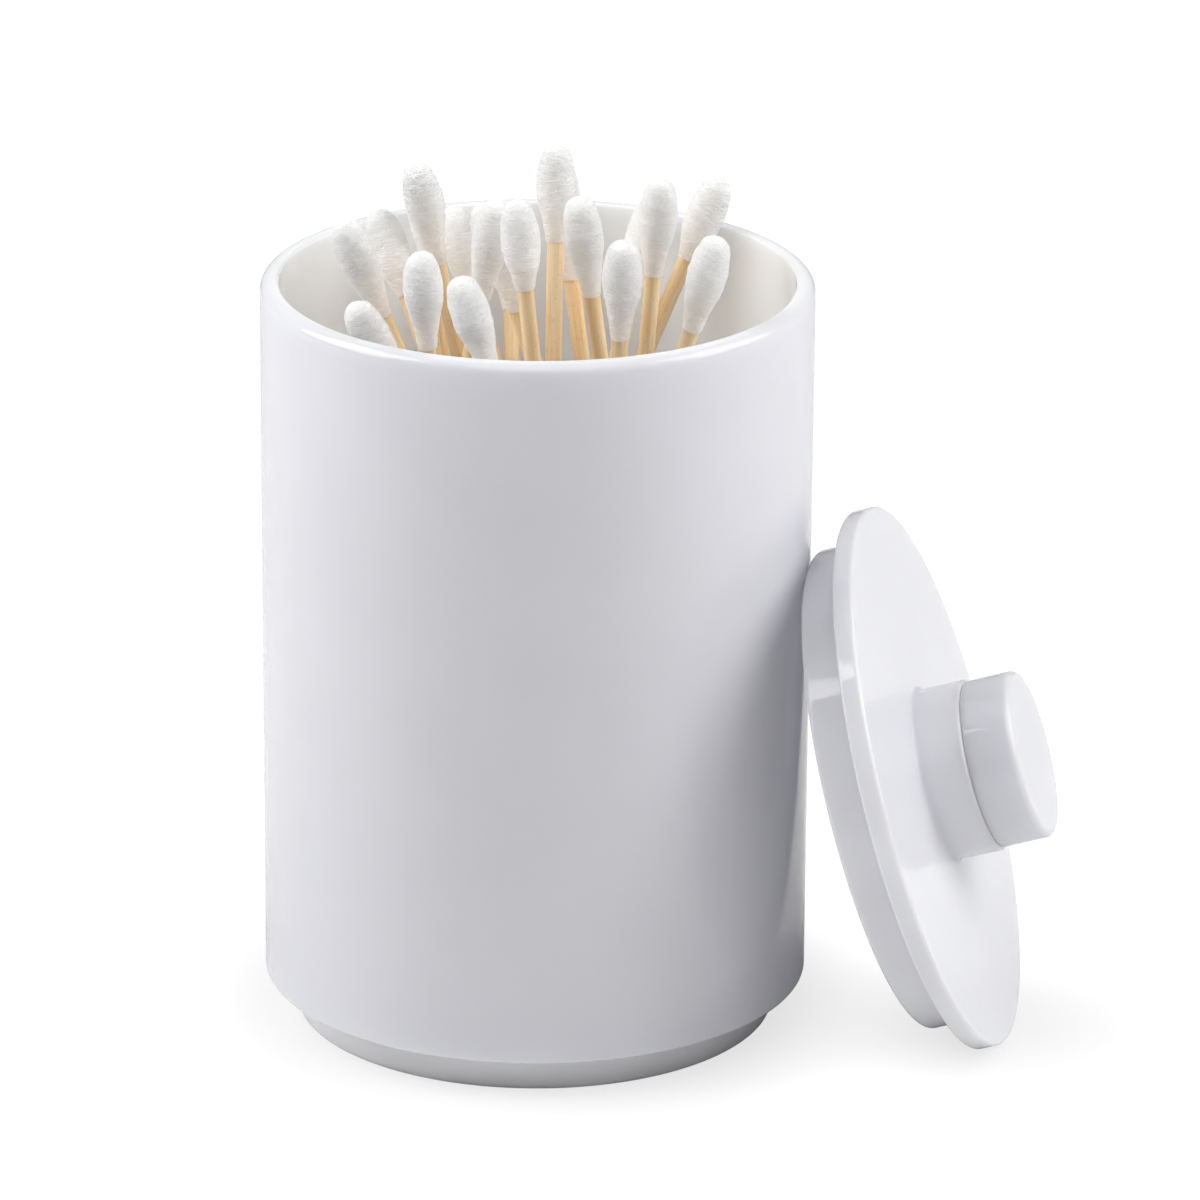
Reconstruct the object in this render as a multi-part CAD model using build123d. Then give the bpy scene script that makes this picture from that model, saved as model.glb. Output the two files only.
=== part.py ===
from build123d import *
import math
import os

# Cotton swab tub: a tall round tub with a recessed foot, full of long wooden cotton swabs.
# Its lid is off and leans on the tub's side, with its knob outwards.
# Units are millimetres. Z is up, the foot stands on z = 0, and the tub's axis is the Z axis.

# The tub, one moulding with an even wall that follows the step of its foot
tub_height = 106.0
rim_radius = 38.0
heel_radius = 37.8            # the wall draws in a little on its way down
wall = 2.6
floor_thickness = 3.0
foot_radius = 33.3
foot_height = 5.6
rim_outer_round = 1.4
rim_inner_round = 0.3
heel_round = 0.5
foot_edge_round = 0.5
cavity_corner_round = 1.6

# The lid: a flat plate with a plug skirt behind it and a boss for the knob in front
lid_radius = 38.2
lid_thickness = 2.9
lid_edge_round = 0.4
plug_radius = 34.0
plug_depth = 5.9
plug_wall = 2.2
plug_edge_round = 0.6
plug_root_round = 0.8
boss_radius = 12.1
boss_height = 6.8
boss_root_round = 0.7
boss_edge_round = 0.45
knob_radius = 11.75
knob_height = 7.1
knob_edge_round = 0.9
knob_seam_round = 0.25
spigot_radius = 5.0
spigot_length = 4.5
spigot_clearance = 0.15
spigot_end_gap = 0.5

# How the lid leans: degrees from upright, and its bearing round the tub from +X
lid_lean = 17.5
lid_bearing = -9.0
lid_contact_gap = 0.05

# A swab: a round wooden stick with cotton wound round both ends
swab_length = 118.5
stick_radius = 1.15
cotton_length = 14.0
cotton_radius = 2.75
cotton_nose_radius = 2.2
cotton_belly = 5.6            # from the tip to the thickest place
cotton_shoulder = 9.2         # from the tip to where the long taper starts
cotton_hem_radius = 1.3
cotton_taper_sag = 0.08       # how far the taper is hollowed
cotton_over_end = 3.2         # cotton beyond the end of the stick
seat_gap = 0.3                # between a swab and what it stands on


def corner(face, radius, height):
    """The corner of a profile that lies nearest to a radius and a height."""
    return min(face.vertices(), key=lambda v: math.hypot(v.X - radius, v.Y - height))


def rounded(face, rounds):
    """A profile with the named corners rounded, from (radius, height, round) rows."""
    for radius, height, size in rounds:
        face = fillet(corner(face, radius, height), size)
    return face


def turned(face):
    """A profile of radii and heights, turned round the Z axis."""
    return revolve(Plane.XZ * face, Axis.Z)


def tub_radius_at(height):
    """Outer radius of the tub's wall at a height above its foot."""
    rise = (height - foot_height) / (tub_height - foot_height)
    return heel_radius + (rim_radius - heel_radius) * rise


def make_tub():
    step = foot_height + wall
    ledge = heel_radius - foot_radius
    heel = min(heel_round, ledge / 2)
    cavity_round = min(cavity_corner_round, ledge / 2)
    points = [
        (0, 0),
        (foot_radius, 0),
        (foot_radius, foot_height),
        (heel_radius, foot_height),
        (rim_radius, tub_height),
        (rim_radius - wall, tub_height),
        (tub_radius_at(step) - wall, step),
        (foot_radius - wall, step),
        (foot_radius - wall, floor_thickness),
        (0, floor_thickness),
    ]
    profile = make_face(Polyline(*points, close=True))
    profile = rounded(profile, [
        (foot_radius, 0, foot_edge_round),
        (heel_radius, foot_height, heel),
        (rim_radius, tub_height, rim_outer_round),
        (rim_radius - wall, tub_height, rim_inner_round),
        (tub_radius_at(step) - wall, step, cavity_round),
        (foot_radius - wall, floor_thickness, cavity_round),
    ])
    return turned(profile)


def make_lid():
    """The lid in its own place: the plate's face on z = 0, the boss upwards."""
    back = -lid_thickness
    plug_end = back - plug_depth
    plug_inner = plug_radius - plug_wall
    socket_radius = spigot_radius + spigot_clearance
    socket_floor = boss_height - spigot_length - spigot_end_gap
    points = [
        (0, back),
        (plug_inner, back),
        (plug_inner, plug_end),
        (plug_radius, plug_end),
        (plug_radius, back),
        (lid_radius, back),
        (lid_radius, 0),
        (boss_radius, 0),
        (boss_radius, boss_height),
        (socket_radius, boss_height),
        (socket_radius, socket_floor),
        (0, socket_floor),
    ]
    profile = make_face(Polyline(*points, close=True))
    profile = rounded(profile, [
        (plug_inner, back, plug_root_round),
        (plug_inner, plug_end, plug_edge_round),
        (plug_radius, plug_end, plug_edge_round),
        (lid_radius, back, lid_edge_round),
        (lid_radius, 0, lid_edge_round),
        (boss_radius, 0, boss_root_round),
        (boss_radius, boss_height, boss_edge_round),
    ])
    return turned(profile)


def make_knob():
    """The knob's head, seated on the boss, with its spigot in the boss's socket."""
    top = boss_height + knob_height
    points = [
        (0, boss_height - spigot_length),
        (spigot_radius, boss_height - spigot_length),
        (spigot_radius, boss_height),
        (knob_radius, boss_height),
        (knob_radius, top),
        (0, top),
    ]
    profile = make_face(Polyline(*points, close=True))
    profile = rounded(profile, [
        (knob_radius, boss_height, knob_seam_round),
        (knob_radius, top, knob_edge_round),
    ])
    return turned(profile)


def lid_place():
    """Where the lid's face lies: the plate's lowest edge on the floor, the plug's top on the tub."""
    lean = math.radians(lid_lean)
    bearing = math.radians(lid_bearing)
    edge_back = lid_thickness - lid_edge_round
    edge_out = lid_radius - lid_edge_round
    height = edge_back * math.sin(lean) + edge_out * math.cos(lean) + lid_edge_round
    plug_back = lid_thickness + plug_depth - plug_edge_round
    plug_out = plug_radius - plug_edge_round
    touch = height - plug_back * math.sin(lean) + plug_out * math.cos(lean)
    reach = tub_radius_at(touch) + lid_contact_gap + plug_edge_round
    reach += plug_back * math.cos(lean) + plug_out * math.sin(lean)
    outward = Vector(math.cos(bearing), math.sin(bearing), 0)
    normal = outward * math.cos(lean) + Vector(0, 0, math.sin(lean))
    return Plane(origin=outward * reach + Vector(0, 0, height), z_dir=normal)


def make_cotton(length):
    """Cotton round one end of a stick, tip upwards, with the middle of its nose on the origin."""
    nose = cotton_nose_radius
    rise = cotton_belly - nose
    belly_radius = (cotton_radius**2 - nose**2 + rise**2) / (2 * (cotton_radius - nose))
    turn = math.atan2(rise, belly_radius - cotton_radius)
    middle = (turn + math.pi / 2) / 2
    drop = cotton_shoulder - cotton_belly
    shoulder = cotton_radius - belly_radius + math.sqrt(belly_radius**2 - drop**2)
    hem = nose - length
    half_way = (cotton_shoulder + length) / 2
    tip = (0, nose)
    nose_middle = (nose * math.cos(middle), nose * math.sin(middle))
    nose_end = (nose * math.cos(turn), nose * math.sin(turn))
    belly = (cotton_radius, -rise)
    taper_start = (shoulder, nose - cotton_shoulder)
    taper_middle = ((shoulder + cotton_hem_radius) / 2 - cotton_taper_sag, nose - half_way)
    outline = [
        ThreePointArc(tip, nose_middle, nose_end),
        ThreePointArc(nose_end, belly, taper_start),
        ThreePointArc(taper_start, taper_middle, (cotton_hem_radius, hem)),
        Line((cotton_hem_radius, hem), (stick_radius, hem)),
        Line((stick_radius, hem), (stick_radius, nose - cotton_over_end)),
        Line((stick_radius, nose - cotton_over_end), (0, nose - cotton_over_end)),
        Line((0, nose - cotton_over_end), tip),
    ]
    return turned(make_face(outline))


# Where each swab stands and where it crosses the mouth of the tub. Both are given as
# (x, y) shares of the room that a swab has there, with the front of the tub at -y.
# The last number is how long the cotton is on the end that shows.
# The rows go roughly from left to right by their tips, as seen from the front.
arrangement = [
    ((0.57, 0.46), (-0.74, 0.10), 15.0),
    ((0.94, 0.35), (-0.75, -0.46), 15.0),
    ((0.62, -0.47), (-0.63, 0.37), 12.5),
    ((0.24, 0.73), (-0.44, 0.37), 15.0),
    ((-0.33, 0.37), (-0.46, -0.61), 15.0),
    ((-0.06, -0.55), (-0.48, 0.81), 14.0),
    ((0.72, -0.71), (-0.34, 0.55), 13.5),
    ((0.86, -0.43), (-0.23, -0.85), 15.0),
    ((1.01, 0.06), (-0.14, 0.06), 16.0),
    ((-0.86, 0.46), (-0.23, -0.11), 15.0),
    ((-0.06, -0.99), (-0.13, 1.00), 14.0),
    ((0.32, -0.50), (-0.04, -0.40), 12.5),
    ((0.05, 0.14), (0.07, 0.33), 13.5),
    ((0.64, -0.23), (0.12, 0.51), 17.5),
    ((0.72, 0.71), (0.22, -0.02), 15.0),
    ((0.33, 0.26), (0.35, -0.57), 15.0),
    ((0.32, 0.95), (0.49, 0.18), 14.5),
    ((-0.32, -0.70), (0.47, 0.86), 14.0),
    ((-0.14, -0.22), (0.66, -0.51), 14.0),
    ((-0.67, 0.76), (0.69, 0.73), 12.5),
]


def swab_frame(foot, mouth):
    """A plane on the middle of the lower cotton's nose, with Z along the swab."""
    foot_room = foot_radius - wall - cotton_radius - seat_gap
    mouth_room = rim_radius - wall - cotton_radius - seat_gap
    height = floor_thickness + seat_gap + cotton_nose_radius
    start = Vector(foot[0] * foot_room, foot[1] * foot_room, height)
    crossing = Vector(mouth[0] * mouth_room, mouth[1] * mouth_room, tub_height)
    return Plane(origin=start, z_dir=crossing - start)


def make_swab(foot, mouth, top_cotton):
    """One swab's stick, and the cotton on its two ends."""
    frame = swab_frame(foot, mouth)
    stick_start = cotton_over_end - cotton_nose_radius
    stick_length = swab_length - 2 * cotton_over_end
    top = swab_length - 2 * cotton_nose_radius
    stick = Cylinder(stick_radius, stick_length, align=(Align.CENTER, Align.CENTER, Align.MIN))
    lower = Rot(180, 0, 0) * make_cotton(cotton_length)
    upper = Pos(0, 0, top) * make_cotton(top_cotton)
    cotton = Compound(children=[frame * lower, frame * upper])
    return frame * Pos(0, 0, stick_start) * stick, cotton


def main():
    os.makedirs("parts", exist_ok=True)
    place = lid_place()
    export_step(make_tub(), "parts/tub.step")
    export_step(place * make_lid(), "parts/lid.step")
    export_step(place * make_knob(), "parts/lid_knob.step")
    for number, (foot, mouth, top_cotton) in enumerate(arrangement, start=1):
        stick, cotton = make_swab(foot, mouth, top_cotton)
        export_step(stick, f"parts/swab_{number:02d}_stick.step")
        export_step(cotton, f"parts/swab_{number:02d}_cotton.step")


main()
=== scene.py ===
# %% [markdown]
# # A tub of cotton swabs
#
# A tall white tub stands on a pale floor, full of long wooden cotton swabs that fan out of its
# mouth. Its round lid is off and leans on the tub's side, with its knob outwards. The CAD model
# gives the sizes and the places, and each piece is modelled again over it: the tub, the lid and
# the knob with rounds as fine as gloss needs, and the swabs because real wood and wound cotton
# aren't as smooth as a CAD solid.

# %% Load the CAD model
import math

import bpy
import numpy as np
from mathutils import Matrix, Vector


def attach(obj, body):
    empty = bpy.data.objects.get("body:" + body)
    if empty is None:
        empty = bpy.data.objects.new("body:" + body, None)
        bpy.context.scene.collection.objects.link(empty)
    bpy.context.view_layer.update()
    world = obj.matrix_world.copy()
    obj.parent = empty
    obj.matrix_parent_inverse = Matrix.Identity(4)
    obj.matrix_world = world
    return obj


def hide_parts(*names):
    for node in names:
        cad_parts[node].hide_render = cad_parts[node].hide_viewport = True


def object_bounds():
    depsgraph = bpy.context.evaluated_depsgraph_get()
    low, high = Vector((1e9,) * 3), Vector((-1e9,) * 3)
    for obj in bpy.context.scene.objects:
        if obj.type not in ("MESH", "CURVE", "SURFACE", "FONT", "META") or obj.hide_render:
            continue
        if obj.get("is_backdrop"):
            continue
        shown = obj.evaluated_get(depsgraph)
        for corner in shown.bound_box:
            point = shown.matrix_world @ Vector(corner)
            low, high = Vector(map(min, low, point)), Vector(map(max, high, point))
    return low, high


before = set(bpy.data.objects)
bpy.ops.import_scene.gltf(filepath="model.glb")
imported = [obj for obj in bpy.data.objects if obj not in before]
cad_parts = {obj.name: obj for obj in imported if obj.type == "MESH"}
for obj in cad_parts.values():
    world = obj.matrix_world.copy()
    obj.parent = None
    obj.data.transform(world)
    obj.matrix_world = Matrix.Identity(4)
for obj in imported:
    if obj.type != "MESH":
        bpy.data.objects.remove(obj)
cad_low, cad_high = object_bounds()
scene = bpy.context.scene
mm = 0.001
print("CAD box in mm", [round(value / mm, 1) for value in (*cad_low, *cad_high)])

# %% [markdown]
# ## The camera
#
# The tub is seen from a little above, through a long lens. A long lens keeps its two sides
# almost parallel, and the height of the camera shows as the open ellipse of the rim. The camera
# is made first, so that every later piece can be judged from where the photograph was taken.

# %% Camera
camera_distance = 1193.5 * mm
camera_tilt = 19.906          # degrees that it looks down
camera_roll = 0.393           # degrees
camera_lens = 258.63          # in millimetres, and so is the width of the sensor
sensor_width = 36
nearest_seen = 0.1            # metres
furthest_seen = 20            # metres
aim = Vector((8.80, 0, 59.42)) * mm

bpy.ops.object.camera_add()
camera = bpy.context.object
tilt = math.radians(camera_tilt)
camera.location = aim + Vector((0, -math.cos(tilt), math.sin(tilt))) * camera_distance
upright = Matrix.Rotation(math.radians(90) - tilt, 4, "X")
roll = Matrix.Rotation(math.radians(camera_roll), 4, "Z")
camera.rotation_euler = (upright @ roll).to_euler()
camera.data.lens = camera_lens
camera.data.sensor_width = sensor_width
camera.data.clip_start = nearest_seen
camera.data.clip_end = furthest_seen
scene.camera = camera
print("camera at", [round(value, 3) for value in camera.location], "m")

# %% [markdown]
# ## Shader maths as expressions
#
# Every finish here is built from nodes. Written by hand, a mask takes a dozen lines of nodes and
# links. A small class that wraps a socket and knows the signs of arithmetic lets a mask be
# written as the formula that it is.


# %% Nodes by name and maths by formula
class Wire:
    """An output socket that can be used in a formula."""

    def __init__(self, board, socket):
        self.board = board
        self.socket = socket

    def join(self, operation, *others):
        return self.board.maths(operation, self, *others)

    def __add__(self, other):
        return self.join("ADD", other)

    def __radd__(self, other):
        return self.join("ADD", other)

    def __sub__(self, other):
        return self.join("SUBTRACT", other)

    def __rsub__(self, other):
        return self.board.maths("SUBTRACT", other, self)

    def __mul__(self, other):
        return self.join("MULTIPLY", other)

    def __rmul__(self, other):
        return self.join("MULTIPLY", other)

    def __pow__(self, other):
        return self.join("POWER", other)

    def __abs__(self):
        return self.join("ABSOLUTE")


class Board:
    """A node tree, with one method that adds any node."""

    def __init__(self, tree):
        self.tree = tree
        tree.nodes.clear()

    def add(self, kind, settings=None, sockets=None, out=0):
        """Add a node, set its settings, fill or link its sockets, and give back one output."""
        node = self.tree.nodes.new(kind)
        for name, value in (settings or {}).items():
            if name == "stops":
                set_stops(node.color_ramp, value)
            else:
                setattr(node, name, value)
        for name, value in (sockets or {}).items():
            if isinstance(value, Wire):
                self.tree.links.new(value.socket, node.inputs[name])
            else:
                node.inputs[name].default_value = value
        return Wire(self, node.outputs[out]) if len(node.outputs) else None

    def maths(self, operation, *values):
        return self.add("ShaderNodeMath", {"operation": operation}, dict(enumerate(values)))

    def place(self):
        """Where a point lies on a piece, in metres."""
        return self.add("ShaderNodeTexCoord", out=3)

    def stored(self, name):
        """A vector that is stored with each point of a piece."""
        return self.add("ShaderNodeAttribute", {"attribute_name": name}, out=1)

    def seen_by_camera(self):
        """1 for what the camera itself sees, and 0 for light on its way between surfaces."""
        return self.add("ShaderNodeLightPath")

    def parts(self, vector):
        """The X, Y and Z of a vector, as three wires."""
        split = self.add("ShaderNodeSeparateXYZ", None, {0: vector})
        node = split.socket.node
        return [Wire(self, node.outputs[axis]) for axis in range(3)]

    def vector(self, x, y, z):
        return self.add("ShaderNodeCombineXYZ", None, {0: x, 1: y, 2: z})

    def noise(self, place, scale, detail=2.0, roughness=0.5, distortion=0.0):
        """Cloudy values between about 0 and 1."""
        sockets = {
            "Vector": place,
            "Scale": scale,
            "Detail": detail,
            "Roughness": roughness,
            "Distortion": distortion,
        }
        return self.add("ShaderNodeTexNoise", None, sockets)

    def between(self, value, low, high):
        """0 where the value is under low, 1 where it is over high, and a smooth change between."""
        settings = {"interpolation_type": "SMOOTHSTEP"}
        sockets = {"Value": value, "From Min": low, "From Max": high}
        return self.add("ShaderNodeMapRange", settings, sockets)

    def mix_colours(self, share, first, second):
        """The first colour where the share is 0, and the second where it is 1."""
        colour_a, colour_b, colour_out = 6, 7, 2
        sockets = {0: share, colour_a: first, colour_b: second}
        return self.add("ShaderNodeMix", {"data_type": "RGBA"}, sockets, out=colour_out)

    def bump(self, height, strength, depth):
        """The surface's direction after small bumps, as deep in metres as given."""
        sockets = {"Strength": strength, "Distance": depth, "Height": height}
        return self.add("ShaderNodeBump", None, sockets)


def set_stops(ramp, stops):
    """Give a colour ramp its stops, from (position, colour) rows."""
    while len(ramp.elements) > 1:
        ramp.elements.remove(ramp.elements[-1])
    ramp.elements[0].position, ramp.elements[0].color = stops[0]
    for position, colour in stops[1:]:
        ramp.elements.new(position).color = colour


def new_material(name):
    material = bpy.data.materials.new(name)
    material.use_nodes = True
    return material, Board(material.node_tree)


def finish_material(board, sockets):
    """End a material in one Principled shader with these sockets."""
    shader = board.add("ShaderNodeBsdfPrincipled", None, sockets)
    board.add("ShaderNodeOutputMaterial", None, {"Surface": shader})


# %% [markdown]
# ## Glossy white plastic
#
# The tub, the lid and the knob are moulded in glossy white plastic, with a faint cool tint. Such
# a surface isn't a perfect mirror: the mould leaves a very shallow unevenness, a few millimetres
# across, and the gloss changes a little from place to place. Both are kept so weak that they
# only take the hardness out of the reflections.
#
# Light passes again and again between the tub's white walls, and between its foot and the floor.
# A renderer gives up after a few turns, which leaves the inside and the foot too dark, and more
# lamps would wash out the rest. So the tub's material asks how far a point is from the axis and
# how high it is, and paints a lighter white on the inside and on the foot: painted light in place
# of the light that bounces there.

# %% Plastic
clouds_per_metre = 60
peel_per_metre = 420
gloss = 0.04                  # the roughness of a clean mould
gloss_change = 0.03
peel_strength = 0.02
peel_depth = 0.4 * mm
light_depth = 3.5 * mm        # how far light goes into the plastic
cloud_shade = 0.985           # how much darker the plastic is where the clouds are thin
foot_top = 5.6 * mm
foot_blend = 0.2 * mm
inside_ends = 35.4 * mm       # from the axis: across the rim the painted light of the inside fades out
outside_starts = 37.6 * mm


def plastic(name, white, inside=None, foot_light=None):
    """White plastic, and where given, lighter whites on the tub's inside and foot as painted
    light.
    """
    material, board = new_material(name)
    place = board.place()
    cloud = board.noise(place, clouds_per_metre, detail=2)
    peel = board.noise(place, peel_per_metre, detail=1)
    shade = [cloud_shade * channel for channel in white[:3]] + [1]
    base = board.mix_colours(board.between(cloud, 0.35, 0.65), shade, white)
    # painted light: inside the tub and on its foot a lighter white stands in for light that
    # bounces between the walls and off the floor
    if inside:
        x, y, z = board.parts(place)
        from_axis = (x * x + y * y) ** 0.5
        above_foot = board.between(z, foot_top - foot_blend, foot_top + foot_blend)
        painted_light_white = board.mix_colours(above_foot, foot_light, inside)
        outside = board.between(from_axis, inside_ends, outside_starts)
        base = board.mix_colours(outside, painted_light_white, base)
    finish_material(board, {
        "Base Color": base,
        "Roughness": gloss + gloss_change * cloud,
        "Normal": board.bump(cloud * 0.75 + peel * 0.25, peel_strength, peel_depth),
        "IOR": 1.49,
        "Subsurface Weight": 0.8,
        "Subsurface Radius": (1.0, 1.0, 1.0),
        "Subsurface Scale": light_depth,
    })
    return material


outer_white = (0.755, 0.757, 0.80, 1)
# painted light: these two lighter whites stand in for the light that bounces inside the tub and
# under its foot
inside_painted_light = (0.91, 0.95, 1.0, 1)
foot_painted_light = (0.935, 0.925, 0.965, 1)
lid_white = (0.80, 0.802, 0.84, 1)
knob_white = (0.77, 0.773, 0.81, 1)
tub_plastic = plastic("tub plastic", outer_white, inside_painted_light, foot_painted_light)
lid_plastic = plastic("lid plastic", lid_white)
knob_plastic = plastic("knob plastic", knob_white)
print("plastics:", tub_plastic.name, lid_plastic.name, knob_plastic.name)

# %% [markdown]
# ## Working in edit mode
#
# An operator works on all that is selected, so each shape starts with nothing selected. The
# helpers here are the few that the pieces below need: one lathe, a way to copy a piece, a way to
# read the corners of a CAD node, and a way to store where each point was before its piece was
# moved, so that a pattern can follow the piece.

# %% Helpers for modelling
weld_distance = 0.002 * mm
crease_angle = math.radians(50)


def deselect_all():
    if bpy.context.object and bpy.context.object.mode != "OBJECT":
        bpy.ops.object.mode_set(mode="OBJECT")
    bpy.ops.object.select_all(action="DESELECT")


def pick(piece):
    """Select one piece alone, and make it the one that an operator works on."""
    deselect_all()
    piece.select_set(True)
    bpy.context.view_layer.objects.active = piece


def lathe(name, outline, steps):
    """Draw an outline of (radius, height) points and spin it round the Z axis."""
    deselect_all()
    bpy.ops.mesh.primitive_plane_add(size=mm)
    piece = bpy.context.object
    piece.name = name
    bpy.ops.object.mode_set(mode="EDIT")
    bpy.ops.mesh.select_all(action="SELECT")
    bpy.ops.mesh.merge(type="CENTER")
    bpy.ops.transform.translate(value=(outline[0][0], 0, outline[0][1]))
    for here, after in zip(outline, outline[1:]):
        move = (after[0] - here[0], 0, after[1] - here[1])
        bpy.ops.mesh.extrude_region_move(TRANSFORM_OT_translate={"value": move})
    bpy.ops.mesh.select_all(action="SELECT")
    bpy.ops.mesh.spin(
        steps=steps,
        angle=math.tau,
        center=(0, 0, 0),
        axis=(0, 0, 1),
        use_auto_merge=True,
    )
    bpy.ops.mesh.select_all(action="SELECT")
    bpy.ops.mesh.remove_doubles(threshold=weld_distance)
    bpy.ops.mesh.normals_make_consistent(inside=False)
    bpy.ops.object.mode_set(mode="OBJECT")
    return piece


def points_of(mesh):
    """The places of a mesh's points in metres, one row each."""
    points = np.empty(len(mesh.vertices) * 3)
    mesh.vertices.foreach_get("co", points)
    return points.reshape(-1, 3)


def keep_places(piece, name, start):
    """Store where each point is now, in millimetres, for the material to read later."""
    points = points_of(piece.data) / mm + np.array(start)
    layer = piece.data.attributes.new(name, "FLOAT_VECTOR", "POINT")
    layer.data.foreach_set("vector", points.ravel())


def copy_of(model, name):
    """A copy of a model with a mesh of its own."""
    piece = model.copy()
    piece.data = model.data.copy()
    piece.name = name
    piece.data.name = name
    scene.collection.objects.link(piece)
    return piece


def smooth(piece):
    pick(piece)
    bpy.ops.object.shade_smooth_by_angle(angle=crease_angle)


def corners_of(node):
    """The corners of a CAD node's mesh, each of them once."""
    decimals = 7              # of a metre
    return np.unique(points_of(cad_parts[node].data).round(decimals), axis=0)


# %% [markdown]
# ## The tub, the lid and the knob
#
# All three are round, so each is drawn as half an outline and spun. The outlines are those of the
# CAD model, but every round gets many small steps here, because glossy plastic shows each facet
# of a round as a broken highlight. A bevel would make rounds too, but here each edge has a width
# of its own. Each straight stretch gets a point close to both its ends, which keeps the shading
# of a round from running out over the flat face beside it.

# %% Outlines with rounded corners
round_steps = 8
edge_distance = 0.25 * mm     # from the end of a round to the point that holds its shading
turning_steps = 192


def round_corner(before, corner, after, radius):
    """Points on the arc that rounds a corner of an outline."""
    corner = Vector(corner)
    back = (Vector(before) - corner).normalized()
    onward = (Vector(after) - corner).normalized()
    half = back.angle(onward) / 2
    middle = corner + (back + onward).normalized() * (radius / math.sin(half))
    first = (corner + back * (radius / math.tan(half)) - middle).normalized()
    last = (corner + onward * (radius / math.tan(half)) - middle).normalized()
    shares = [step / round_steps for step in range(round_steps + 1)]
    return [middle + first.slerp(last, share) * radius for share in shares]


def rounded_outline(corners):
    """An outline in metres from (radius, height, round) rows in millimetres."""
    corners = [tuple(value * mm for value in row) for row in corners]
    points = [Vector(corners[0][:2])]
    for before, here, after in zip(corners, corners[1:], corners[2:]):
        place, radius = here[:2], here[2]
        arc = [Vector(place)]
        if radius > 0:
            arc = round_corner(before[:2], place, after[:2], radius)
        back = (Vector(before[:2]) - Vector(place)).normalized()
        onward = (Vector(after[:2]) - Vector(place)).normalized()
        points += [arc[0] + back * edge_distance, *arc, arc[-1] + onward * edge_distance]
    points.append(Vector(corners[-1][:2]))
    return [tuple(point) for point in points]


# %% Spin the tub
tub_outline = rounded_outline([
    (0, 0, 0),
    (33.3, 0, 0.5),
    (33.3, 5.6, 0),
    (37.8, 5.6, 0.5),
    (38.0, 106.0, 1.4),
    (35.4, 106.0, 0.3),
    (35.205, 8.2, 1.6),
    (30.7, 8.2, 0),
    (30.7, 3.0, 1.6),
    (0, 3.0, 0),
])
tub = lathe("tub_moulding", tub_outline, turning_steps)
smooth(tub)
tub.data.materials.append(tub_plastic)
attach(tub, "root")
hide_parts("tub")
print("tub", len(tub.data.polygons), "faces")

# %% [markdown]
# ## How the lid leans
#
# The lid is a plate with a boss in front and a short skirt behind, which plugs the tub's mouth.
# The knob sits on the boss, with a fine seam between them. Both are turned upright, with the
# plate's front on z = 0, and then leaned together. The lean could be written down, but the CAD
# lid already has it: its largest face says which way the lid looks.

# %% Spin the lid and the knob, and lean them as the CAD lid leans
boss_height = 6.8             # in millimetres, as the outlines are
lid_outline = rounded_outline([
    (0, -2.9, 0),
    (31.8, -2.9, 0.8),
    (31.8, -8.8, 0.6),
    (34.0, -8.8, 0.6),
    (34.0, -2.9, 0),
    (38.2, -2.9, 0.4),
    (38.2, 0, 0.4),
    (12.1, 0, 0.7),
    (12.1, boss_height, 0.45),
    (5.15, boss_height, 0),
    (5.15, 1.8, 0),
    (0, 1.8, 0),
])
knob_outline = rounded_outline([
    (0, 2.3, 0),
    (5.0, 2.3, 0),
    (5.0, boss_height, 0),
    (11.75, boss_height, 0.25),
    (11.75, 13.9, 0.9),
    (0, 13.9, 0),
])


def lid_place():
    """The turn and move of the CAD lid."""
    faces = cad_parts["lid"].data.polygons
    outward = Vector(max(faces, key=lambda face: face.area).normal)
    if outward.z < 0:
        outward.negate()
    turn = outward.to_track_quat("Z", "Y").to_matrix()
    points = corners_of("lid") @ np.array(turn)
    low, high = points.min(axis=0), points.max(axis=0)
    centre = Vector((low + high) / 2)
    centre.z = high[2] - boss_height * mm
    return Matrix.Translation(turn @ centre) @ turn.to_4x4()


leaning = lid_place()
for node, outline, material, slot in (
    ("lid", lid_outline, lid_plastic, "lid_plastic"),
    ("lid_knob", knob_outline, knob_plastic, "knob_plastic"),
):
    piece = lathe(node + "_moulding", outline, turning_steps)
    smooth(piece)
    piece.data.transform(leaning)
    piece.data.materials.append(material)
    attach(piece, "root")
    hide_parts(node)
    print(node, len(piece.data.polygons), "faces")

# %% [markdown]
# ## Where each swab stands
#
# Twenty swabs stand in the tub, each at its own angle. The CAD model says where each of them is,
# so its line is read from the CAD stick instead of being written down again. A stick is the same
# on all sides, so the average of its corners lies on its middle line, and the longest direction
# of the corners is the way that it points.


# %% Read the swabs' lines from the CAD model
def line_of(stick):
    """The lower end of a stick's middle line, its direction upwards, and its length."""
    points = corners_of(stick)
    middle = points.mean(axis=0)
    way = np.linalg.svd(points - middle, full_matrices=False)[2][0]
    way *= math.copysign(1, way[2])
    along = (points - middle) @ way
    return middle + way * along.min(), way, along.max() - along.min()


def cotton_reach(cotton, start, way):
    """How far up a swab's line its lower and upper cotton begin and end."""
    along = np.sort((corners_of(cotton) - start) @ way)
    gap = np.argmax(np.diff(along))
    return along[0], along[gap], along[gap + 1], along[-1]


swabs = []
for stick_name in sorted(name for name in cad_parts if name.endswith("_stick")):
    cotton_name = stick_name.replace("_stick", "_cotton")
    start, way, length = line_of(stick_name)
    swabs.append({
        "stick": stick_name,
        "cotton": cotton_name,
        "start": start,
        "way": way,
        "length": length,
        "reach": cotton_reach(cotton_name, start, way),
    })
stick_length = swabs[0]["length"]
print(len(swabs), "swabs, sticks of", round(stick_length / mm, 1), "mm")


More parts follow.
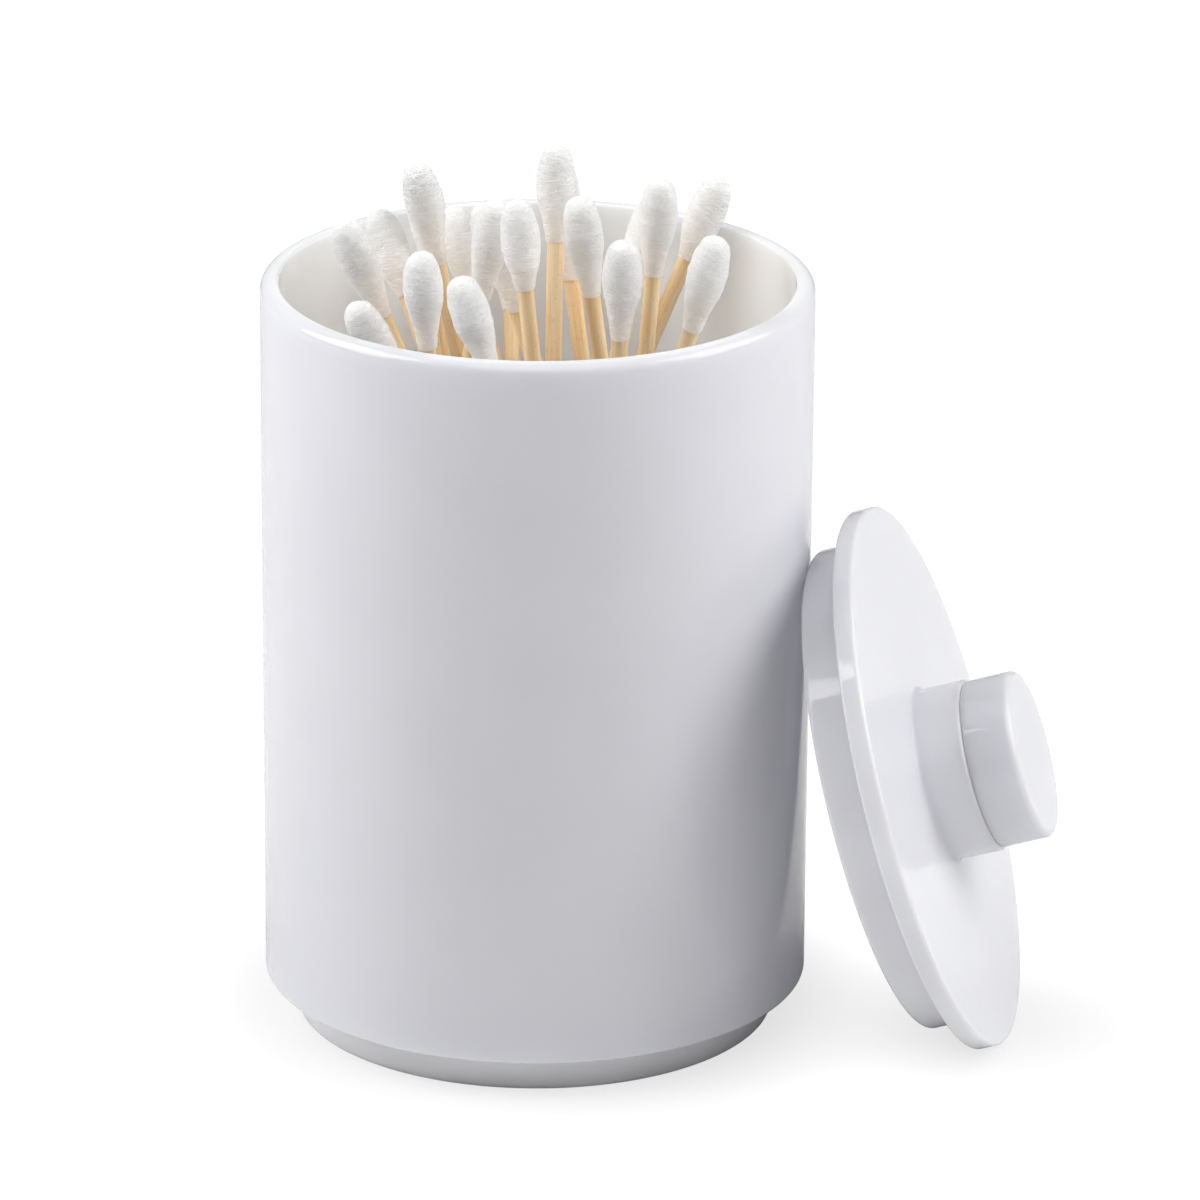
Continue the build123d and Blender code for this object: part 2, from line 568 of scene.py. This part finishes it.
# %% Put a piece on a swab's line
def stand_on(start, way, twist):
    """The turn and move that put a piece modelled up the Z axis on a swab's line."""
    turn = Vector(way).to_track_quat("Z", "Y").to_matrix().to_4x4()
    return Matrix.Translation(Vector(start)) @ turn @ Matrix.Rotation(twist, 4, "Z")


def moved_on(step, number):
    """Where a pattern starts on a copy, so that each copy shows another part of it."""
    return tuple(part * number for part in step)


# %% [markdown]
# ## Wood
#
# The sticks are thin birch dowels. Their grain runs along them: broad bands of light and darker
# tan, thin brown streaks, and short dark pores. A picture of wood would look the same on all of
# them, so the grain is made of noise, drawn out along the stick. It is read from the place that
# each point had before its stick was tilted, with a different start for each stick, so the grain
# follows every stick and no two sticks are the same.

# %% Wood finish
pale_to_tan = [
    (0.25, (0.76, 0.43, 0.19, 1)),
    (0.42, (0.95, 0.67, 0.37, 1)),
    (0.58, (1.0, 0.80, 0.52, 1)),
    (0.75, (1.0, 0.91, 0.70, 1)),
]
pore_brown = (0.34, 0.17, 0.07, 1)
grain_strength = 0.35
grain_depth = 0.12 * mm


def wood_material():
    material, board = new_material("birch wood")
    place = board.stored("swab_place")
    x, y, z = board.parts(place)
    along_band = board.vector(x, y, z * 0.035)
    along_streak = board.vector(x, y, z * 0.02)
    along_pore = board.vector(x, y, z * 0.12)
    bands = board.noise(along_band, 1.1, detail=3, roughness=0.6, distortion=0.4)
    streaks = board.noise(along_streak, 4.5, detail=3, roughness=0.65)
    pores = board.noise(along_pore, 9.0, detail=2, roughness=0.6)
    mottle = board.noise(place, 0.12, detail=2)
    mixed = bands * 0.6 + streaks * 0.3 + mottle * 0.1
    tan = board.add("ShaderNodeValToRGB", {"stops": pale_to_tan}, {"Fac": mixed})
    pore_share = board.between(pores, 0.62, 0.74) * 0.55
    height = streaks * 0.6 - 0.4 * board.between(pores, 0.6, 0.75)
    finish_material(board, {
        "Base Color": board.mix_colours(pore_share, tan, pore_brown),
        "Roughness": 0.62 - 0.12 * streaks,
        "Normal": board.bump(height, grain_strength, grain_depth),
        "Specular IOR Level": 0.35,
    })
    return material


wood = wood_material()
print("wood with", len(pale_to_tan), "tones and dark pores")

# %% [markdown]
# ## The sticks
#
# A dowel is a cylinder that is never quite round. One stick is made from a cylinder with cuts
# along its length, because its surface can only move where it has points. Each copy is then
# dented a little by a displacement that starts at another place for each stick.

# %% One stick
stick_sides = 24
stick_cuts = 40
dent_room = 0.02 * mm         # off the radius, because a displacement pushes outwards too

first_swab = swabs[0]
from_start = corners_of(first_swab["stick"]) - first_swab["start"]
from_line = np.cross(from_start, first_swab["way"])
stick_radius = float(np.linalg.norm(from_line, axis=1).max())

deselect_all()
bpy.ops.mesh.primitive_cylinder_add(
    vertices=stick_sides,
    radius=stick_radius - dent_room,
    depth=stick_length,
    location=(0, 0, stick_length / 2),
)
stick_model = bpy.context.object
bpy.ops.object.transform_apply()
bpy.ops.object.mode_set(mode="EDIT")
for cut in range(1, stick_cuts):
    height = stick_length * cut / stick_cuts
    bpy.ops.mesh.select_all(action="SELECT")
    bpy.ops.mesh.bisect(plane_co=(0, 0, height), plane_no=(0, 0, 1))
bpy.ops.object.mode_set(mode="OBJECT")
print("stick radius in mm", round(stick_radius / mm, 3))


# %% Push a surface in and out
def roughen(piece, name, size, strength, shift, squeeze=(1, 1, 1), depth=1):
    """Move a piece's surface by a cloudy pattern, with all sizes in millimetres."""
    texture = bpy.data.textures.new(name, "CLOUDS")
    texture.noise_scale = size
    texture.noise_depth = depth
    bpy.ops.object.empty_add(location=Vector(shift) * mm)
    guide = bpy.context.object
    guide.scale = [mm * part for part in squeeze]
    change = piece.modifiers.new(name, "DISPLACE")
    change.texture = texture
    change.texture_coords = "OBJECT"
    change.texture_coords_object = guide
    change.mid_level = 0.5
    change.strength = strength * mm
    bpy.context.view_layer.update()
    pick(piece)
    bpy.ops.object.modifier_apply(modifier=name)
    bpy.data.objects.remove(guide)
    bpy.data.textures.remove(texture)


# %% A stick for each swab
grain_step = (7.3, 3.1, 41)   # millimetres, from one stick's pattern to the next
dent_step = (3.7, 1.3, 11)
stick_twist = 2.4             # radians, from one stick to the next

for number, swab in enumerate(swabs):
    stick = copy_of(stick_model, f"wood_{number + 1:02d}")
    keep_places(stick, "swab_place", moved_on(grain_step, number))
    roughen(stick, "dents", 1.6, 0.10, moved_on(dent_step, number), squeeze=(1, 1, 6))
    smooth(stick)
    stick.data.transform(stand_on(swab["start"], swab["way"], stick_twist * number))
    stick.data.materials.append(wood)
    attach(stick, "root")
    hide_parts(swab["stick"])
bpy.data.objects.remove(stick_model)
print(len(swabs), "sticks with", len(stick.data.polygons), "faces each")

# %% [markdown]
# ## Cotton
#
# The buds are loose cotton, wound tightly round the stick and then pressed. From close by, the
# surface shows shallow rings where the thread was laid, fine curved wisps that cross them, and
# soft lumps. At the lower end the cotton is so thin that the wood shows through. Real hairs could
# be grown on the buds, but they would be finer than a pixel, so colour and a fine bump do it. The
# colour is darker in the hollows of the rings, which is painted shade.
#
# Light goes a little way into cotton and comes out again after many turns, so its shadows are
# soft and its edges pale. A renderer gives up after a few turns. So the cotton also gives off a
# little light of its own, most of all low down, where each bud stands among the others.

# %% Cotton finish
# painted shade: the cotton is darker in the hollows between the rings than on their crests
hollow_painted_shade = (0.84, 0.828, 0.815, 1)
ring_tone = (0.945, 0.937, 0.93, 1)
wisp_tone = (1.0, 1.0, 0.995, 1)
wood_through = (0.92, 0.70, 0.49, 1)
tip_glow = (0.25, 0.25, 0.25, 1)
hem_glow = (1.0, 0.94, 0.87, 1)
glow_strength = 0.2
thin_part = 7.0               # millimetres above the hem
glowing_part = (1.0, 13.0)    # millimetres above the hem
fluff_depth = 0.45 * mm
cotton_light_depth = 3.0 * mm
matt_share = 0.45


def cotton_material():
    material, board = new_material("wound cotton")
    place = board.stored("swab_place")
    from_hem = board.parts(board.stored("from_hem"))[2]
    x, y, z = board.parts(place)
    sway = board.noise(place, 0.4, detail=1) * 4.0
    laid = board.vector(x, y, z * 2.2 + sway)
    rings = board.noise(laid, 0.8, detail=4, roughness=0.65, distortion=0.8)
    rising = board.vector(x * 0.4 + z * 0.5, y * 0.4 - z * 0.2, z * 2.4 + sway)
    falling = board.vector(y * 0.4 - z * 0.6, x * 0.4 + z * 0.3, z * 2.0 - sway)
    first = abs(board.noise(rising, 0.8, detail=2, distortion=0.6) - 0.5)
    second = abs(board.noise(falling, 0.9, detail=2, distortion=0.6) - 0.5)
    wisps = 2 - board.between(first, 0.01, 0.07) - board.between(second, 0.01, 0.07)
    lumps = board.noise(place, 0.5, detail=2)

    # painted shade in the ring hollows and the lighter crests, with the lighter wisps laid over
    # them
    tone = board.mix_colours(board.between(rings, 0.35, 0.62), hollow_painted_shade, ring_tone)
    tone = board.mix_colours(wisps * 0.65, tone, wisp_tone)
    thin = 1 - board.between(from_hem + (rings - 0.5) * 3.0, 0.0, thin_part)
    low = 1 - board.between(from_hem, *glowing_part)
    height = rings * 0.35 + wisps * 0.15 + lumps * 0.5

    matt_look = {
        "Base Color": board.mix_colours(thin * 0.36, tone, wood_through),
        "Roughness": 0.95,
        "Normal": board.bump(height, 1.0, fluff_depth),
        "Specular IOR Level": 0.1,
        "Sheen Weight": 0.55,
        "Sheen Roughness": 0.4,
        "Emission Color": board.mix_colours(low, tip_glow, hem_glow),
        "Emission Strength": glow_strength,
    }
    deep_look = {
        **matt_look,
        "Subsurface Weight": 1.0,
        "Subsurface Radius": (1.0, 0.98, 0.95),
        "Subsurface Scale": cotton_light_depth,
    }
    matt = board.add("ShaderNodeBsdfPrincipled", None, matt_look)
    deep = board.add("ShaderNodeBsdfPrincipled", None, deep_look)
    mixed = board.add("ShaderNodeMixShader", None, {0: matt_share, 1: deep, 2: matt})
    board.add("ShaderNodeOutputMaterial", None, {"Surface": mixed})
    return material


cotton = cotton_material()
print("cotton with", len(cotton.node_tree.nodes), "nodes")

# %% [markdown]
# ## The cotton buds
#
# A bud is round, so it is drawn as half an outline and spun like clay on a wheel: a nose, a full
# belly, a long taper to a thin hem, and the hole for the stick. The outline is that of the CAD
# model, but 0.05 mm thinner at the belly, because the lumps stand proud of it. The bud that shows
# has many faces, and the one at the bottom of the tub has few. Each copy is made as long as its
# own CAD cotton and gets lumps and rings of its own.

# %% The outline of a bud
cotton_radius = 2.70 * mm
nose_radius = 2.2 * mm
belly_depth = 5.6 * mm        # depths are measured from the tip
shoulder_depth = 9.2 * mm
bud_length = 14.0 * mm
hem_radius = 1.3 * mm
bore_depth = 3.2 * mm
taper_sag = 0.08 * mm

rise = belly_depth - nose_radius
spare = cotton_radius - nose_radius
belly_curve = (cotton_radius**2 - nose_radius**2 + rise**2) / (2 * spare)
nose_end = math.atan2(rise, belly_curve - cotton_radius)
nose_depth = nose_radius - nose_radius * math.sin(nose_end)


def belly_radius(depth):
    """The radius of the cotton on the long curve of its belly."""
    sideways = math.sqrt(belly_curve**2 - (depth - belly_depth) ** 2)
    return cotton_radius - belly_curve + sideways


def bud_radius(depth):
    """The radius of the cotton at a depth below its tip."""
    if depth < nose_depth:
        return math.sqrt(max(nose_radius**2 - (nose_radius - depth) ** 2, 0))
    if depth < shoulder_depth:
        return belly_radius(depth)
    share = (depth - shoulder_depth) / (bud_length - shoulder_depth)
    shoulder = belly_radius(shoulder_depth)
    sag = 4 * taper_sag * share * (1 - share)
    return shoulder + (hem_radius - shoulder) * share - sag


def bud_outline(nose_steps, side_steps):
    """Points from the tip, down the outside, and up the hole for the stick."""
    points = []
    quarter = math.pi / 2
    for step in range(nose_steps):
        angle = quarter - (quarter - nose_end) * step / nose_steps
        height = nose_radius * math.sin(angle) - nose_radius
        points.append((nose_radius * math.cos(angle), height))
    for step in range(side_steps + 1):
        depth = nose_depth + (bud_length - nose_depth) * step / side_steps
        points.append((bud_radius(depth), -depth))
    points.append((stick_radius, -bud_length))
    points.append((stick_radius, -bore_depth))
    points.append((0, -bore_depth))
    return points


# %% A fine bud and a plain one
fine_bud = lathe("fine bud", bud_outline(nose_steps=14, side_steps=64), 72)
plain_bud = lathe("plain bud", bud_outline(nose_steps=5, side_steps=14), 24)
print("fine bud", len(fine_bud.data.polygons), "faces")
print("plain bud", len(plain_bud.data.polygons), "faces")


# %% Two buds for each swab
fluff_step = (9.1, 4.3, 27)   # millimetres, from one bud's pattern to the next
lump_step = (5.3, 2.9, 17.0)
ring_squeeze = (2.6, 2.6, 0.7)
upper_twist = 1.7             # radians, from one bud to the next
lower_twist = 1.1
first_lower = 40              # gives the lower buds other patterns than the upper ones


def stretch_taper(piece, length):
    """Make a bud's taper longer or shorter, so that the whole bud has this length."""
    share = (length - shoulder_depth) / (bud_length - shoulder_depth)
    for vertex in piece.data.vertices:
        if vertex.co.z < -shoulder_depth:
            vertex.co.z = -shoulder_depth + (vertex.co.z + shoulder_depth) * share


def make_bud(model, name, length, number):
    """A bud of its own length, with its own lumps and rings, still upright at the origin."""
    bud = copy_of(model, name)
    stretch_taper(bud, length)
    keep_places(bud, "swab_place", moved_on(fluff_step, number))
    keep_places(bud, "from_hem", (0, 0, length / mm))
    shift = moved_on(lump_step, number)
    roughen(bud, "lumps", 2.2, 0.22, shift)
    roughen(bud, "rings", 0.75, 0.15, shift, ring_squeeze, depth=2)
    return bud


for number, swab in enumerate(swabs):
    start, way = swab["start"], swab["way"]
    low_tip, low_hem, top_hem, top_tip = swab["reach"]
    upper = make_bud(fine_bud, f"cotton_{number + 1:02d}", top_tip - top_hem, number + 1)
    lower = make_bud(plain_bud, "lower", low_hem - low_tip, number + first_lower)
    upper.data.transform(stand_on(start + way * top_tip, way, upper_twist * number))
    lower.data.transform(stand_on(start + way * low_tip, -way, lower_twist * number))
    pick(upper)
    lower.select_set(True)
    bpy.ops.object.join()
    smooth(upper)
    upper.data.materials.append(cotton)
    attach(upper, "root")
    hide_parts(swab["cotton"])
bpy.data.objects.remove(fine_bud)
bpy.data.objects.remove(plain_bud)
print(len(swabs), "pairs of buds with", len(upper.data.polygons), "faces each")

# %% [markdown]
# ## The floor and the light
#
# The object stands in a white studio. Two strong softboxes light its sides, a weak one stands at
# its front right, and a fourth hangs in front of it and high up. The wall behind it is pale. The
# side where the camera is stays dark, which leaves the middle of the tub greyer than its edges.
#
# The floor is as white as the background, and only keeps the soft shadows under the tub and the
# lid. White paint alone would look grey where the lamps don't reach. So the camera sees the floor
# fade from lit paint near the object to plain white further out. To all other light the floor is
# ordinary pale paint. The paint that the camera sees is darker than that, so the shade round the
# tub's and the lid's feet is partly real shadow and partly painted shade.

# %% Floor
floor_size = 6                # metres
floor_drop = 0.02 * mm        # keeps the floor clear of the foot's flat face
floor_paint = 0.82            # for the light that the floor sends up
seen_paint = 0.60             # darker paint for the camera alone: painted shade that deepens the shadows near the object
floor_glow = 1.12             # the white that the camera sees in place of paint
glow_near = 0.63              # the share of that white next to the object; less white there leaves painted shade round the feet
tub_shade = (0.030, 0.060)    # metres from the axis, over which the share rises
lid_shade = (0.002, 0.035)    # metres from where the lid stands


def grey(level):
    return (level, level, level, 1)


deselect_all()
bpy.ops.mesh.primitive_plane_add(size=floor_size, location=(0, 0, -floor_drop))
floor = bpy.context.object
floor.name = "floor"
floor_material, board = new_material("white floor")
seen = board.seen_by_camera()
paint = board.mix_colours(seen, grey(floor_paint), grey(seen_paint))
matt = board.add("ShaderNodeBsdfDiffuse", None, {"Color": paint})
glow = board.add("ShaderNodeEmission", None, {"Color": grey(1), "Strength": floor_glow})
place = board.place()
lid_foot = Vector(min(corners_of("lid"), key=lambda corner: corner[2]))
from_tub = board.add("ShaderNodeVectorMath", {"operation": "LENGTH"}, {0: place}, out=1)
measure = {"operation": "DISTANCE"}
from_lid = board.add("ShaderNodeVectorMath", measure, {0: place, 1: lid_foot}, out=1)
# painted shade: near the tub and the lid's foot the white fades, so the floor there is darker, on
# top of its real shadows
open_floor = board.between(from_tub, *tub_shade) * board.between(from_lid, *lid_shade)
glow_share = glow_near + (1 - glow_near) * open_floor
mixed = board.add("ShaderNodeMixShader", None, {0: seen * glow_share, 1: matt, 2: glow})
board.add("ShaderNodeOutputMaterial", None, {"Surface": mixed})
floor.data.materials.append(floor_material)
floor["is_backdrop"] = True
print("the lid stands at", [round(value / mm, 1) for value in lid_foot], "mm")

# %% The studio's walls
back_wall = 0.5               # how bright the wall behind the object is, where 1 is white
wall_edges = (-0.1, 0.3)      # how far back a direction points where the wall fades in
wall_top = (0.4, 0.8)         # how far up it points where the wall fades out

world = bpy.data.worlds.new("white studio")
scene.world = world
world.use_nodes = True
board = Board(world.node_tree)
x, y, z = board.parts(board.add("ShaderNodeTexCoord"))
level = board.between(y, *wall_edges) * (1 - board.between(z, *wall_top)) * back_wall
level = board.vector(level, level, level)
walls = board.add("ShaderNodeBackground", None, {"Color": level, "Strength": 1.0})
backdrop = board.add("ShaderNodeBackground", None, {"Color": grey(1), "Strength": 1.0})
seen = board.seen_by_camera()
mixed = board.add("ShaderNodeMixShader", None, {0: seen, 1: walls, 2: backdrop})
board.add("ShaderNodeOutputWorld", None, {"Surface": mixed})
print("wall behind the object", back_wall)

# %% Softboxes
softbox_size = 0.7            # metres along each side
softbox_distance = 0.9        # metres from what it lights
lit_place = Vector((0.01, 0, 0.06))


def softbox(name, bearing, height, brightness):
    """A square lamp that looks at the tub, from a bearing and a height in degrees."""
    deselect_all()
    bearing = math.radians(bearing)
    height = math.radians(height)
    from_tub = Vector((
        math.sin(bearing) * math.cos(height),
        -math.cos(bearing) * math.cos(height),
        math.sin(height),
    ))
    bpy.ops.object.light_add(type="AREA", location=lit_place + from_tub * softbox_distance)
    lamp = bpy.context.object
    lamp.name = name
    lamp.rotation_euler = from_tub.to_track_quat("Z", "Y").to_euler()
    lamp.data.shape = "RECTANGLE"
    lamp.data.size = softbox_size
    lamp.data.size_y = softbox_size
    lamp.data.energy = brightness * math.pi * softbox_size * softbox_size
    print(name, round(lamp.data.energy, 2), "W")


softbox("left softbox", bearing=-90, height=38, brightness=4.5)
softbox("right softbox", bearing=90, height=38, brightness=3.4)
softbox("front right softbox", bearing=60, height=28, brightness=0.8)
softbox("front softbox", bearing=0, height=64, brightness=1.65)

scene.view_settings.view_transform = "Standard"

# %% [markdown]
# ## The finished size
#
# The box of the finished model is measured against the box of the CAD model, and the largest
# step outside it is printed.

# %% Sizes, and the end
new_low, new_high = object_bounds()
below = max(old - new for old, new in zip(cad_low, new_low))
above = max(new - old for old, new in zip(cad_high, new_high))
print("largest step outside the CAD box in mm", round(max(below, above) / mm, 2))
